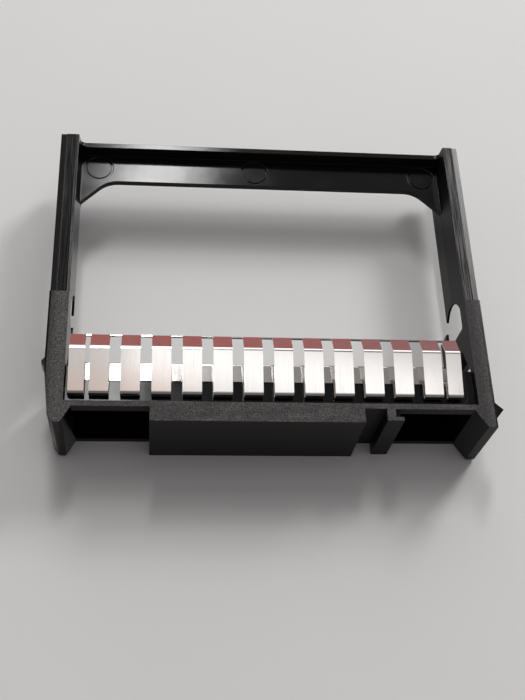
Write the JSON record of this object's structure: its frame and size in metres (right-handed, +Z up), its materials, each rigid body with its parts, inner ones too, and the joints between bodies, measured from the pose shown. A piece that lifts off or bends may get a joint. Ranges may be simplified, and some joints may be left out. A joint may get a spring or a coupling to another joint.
{
  "type": "drive blank filler",
  "caption": "Open moulded frame that fills an empty small-drive slot, with side rails, a front grip and a strip of folded spring fingers behind its front lip.",
  "frame": {"origin": "middle of the bounding box's bottom face, on the surface that the frame lies on", "axes": "+X across the rails to the right, seen from the front; +Y from the front lip to the rear bar; +Z up from the surface"},
  "size_m": [0.0776, 0.0584, 0.0161],
  "materials": {
    "black_plastic": "fine spark texture on the tops and plain moulded inside",
    "spring_steel": "bright rolled sheet"
  },
  "bodies": {
    "root": {"blank_frame": "black_plastic", "grounding_spring_strip": "spring_steel"}
  },
  "joints": []
}
